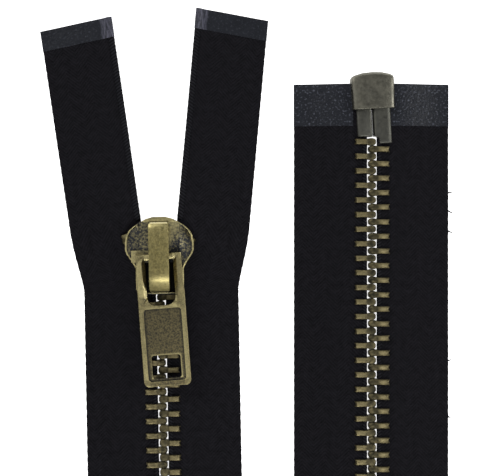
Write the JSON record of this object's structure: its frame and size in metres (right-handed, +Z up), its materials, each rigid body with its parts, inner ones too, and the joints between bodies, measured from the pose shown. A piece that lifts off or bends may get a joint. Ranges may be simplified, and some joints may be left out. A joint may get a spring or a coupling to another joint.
{
  "type": "metal separating zipper",
  "caption": "Closed metal separating zipper on woven tapes, laid in a U, with its slider at the top stops and its retainer box at the other end.",
  "frame": {"origin": "on the table, under the middle of the whole zipper's outline as it is laid", "axes": "+Z up off the table and out of the zipper's front; +Y along the box leg towards its box and roughly along the slider's leg towards its free ends; +X from the slider's leg to the box leg"},
  "size_m": [0.102, 0.2308, 0.0384],
  "materials": {
    "tape": "herringbone woven polyester tape",
    "cord": "cord woven into the tape edge",
    "film": "thin film heat-sealed over the weave",
    "antique_brass": "stamped brass teeth with a dark antique finish",
    "slider_brass": "cast slider with an antique brass finish worn bright on its edges",
    "dark_brass": "dark antique brass, satin",
    "spring_steel": "spring steel strip"
  },
  "bodies": {
    "chain": {"left_tape_slider_leg": "tape", "right_tape_slider_leg": "tape", "left_cord_slider_leg": "cord", "right_cord_slider_leg": "cord", "left_teeth_slider_leg": "antique_brass", "right_teeth_slider_leg": "antique_brass", "left_tape_bend": "tape", "right_tape_bend": "tape", "left_cord_bend": "cord", "right_cord_bend": "cord", "left_teeth_bend": "antique_brass", "right_teeth_bend": "antique_brass", "left_tape_box_leg": "tape", "right_tape_box_leg": "tape", "left_cord_box_leg": "cord", "right_cord_box_leg": "cord", "left_teeth_box_leg": "antique_brass", "right_teeth_box_leg": "antique_brass", "left_box_film": "film", "right_box_film": "film", "insertion_pin": "dark_brass", "retaining_pin": "dark_brass", "retainer_box": "dark_brass"},
    "slider": {"slider_body": "slider_brass", "slider_crown": "slider_brass"},
    "pull": {"pull_tab": "slider_brass"},
    "lock": {"lock_pin": "spring_steel"},
    "left_stringer_top": {"left_top_stop": "antique_brass"},
    "right_stringer_top": {"right_top_stop": "antique_brass"},
    "left_free_end": {"left_tape_end": "tape", "left_end_film": "film", "left_cord_end": "cord"},
    "right_free_end": {"right_tape_end": "tape", "right_end_film": "film", "right_cord_end": "cord"}
  },
  "joints": [
    {"name": "slider_travel", "type": "slide", "parent": "chain", "child": "slider", "axis": [0.0185, -0.9998, 0], "range_m": [0, 0.036], "deforming": ["left_tape_slider_leg", "right_tape_slider_leg", "left_cord_slider_leg", "right_cord_slider_leg", "left_teeth_slider_leg", "right_teeth_slider_leg"]},
    {"name": "left_top_opening", "type": "slide", "parent": "chain", "child": "left_stringer_top", "axis": [-0.9998, -0.0185, 0], "range_m": [0, 0.0036]},
    {"name": "right_top_opening", "type": "slide", "parent": "chain", "child": "right_stringer_top", "axis": [0.9998, 0.0185, 0], "range_m": [0, 0.0036]},
    {"name": "left_end_spread", "type": "hinge", "parent": "left_stringer_top", "child": "left_free_end", "pos_m": [-0.026, 0.063, 0.00305], "axis": [0, 0, 1], "range_deg": [-6, 20]},
    {"name": "right_end_spread", "type": "hinge", "parent": "right_stringer_top", "child": "right_free_end", "pos_m": [-0.0166, 0.0634, 0.00305], "axis": [0, 0, -1], "range_deg": [-6, 5]},
    {"name": "pull_swing", "type": "hinge", "parent": "slider", "child": "pull", "pos_m": [-0.02129, 0.0542, 0.00705], "axis": [-0.9971, -0.076, 0], "range_deg": [0, 165]},
    {"name": "pin_lift", "type": "hinge", "parent": "slider", "child": "lock", "pos_m": [-0.0212, 0.0613, 0.0065], "axis": [-0.9998, -0.0185, 0], "range_deg": [0, 2.2]}
  ],
  "couplings": [
    {"joint": "left_top_opening", "follows": "slider_travel", "ratio": 0.0958},
    {"joint": "right_top_opening", "follows": "slider_travel", "ratio": 0.0958},
    {"joint": "pin_lift", "follows": "pull_swing", "ratio": 0.013333}
  ]
}
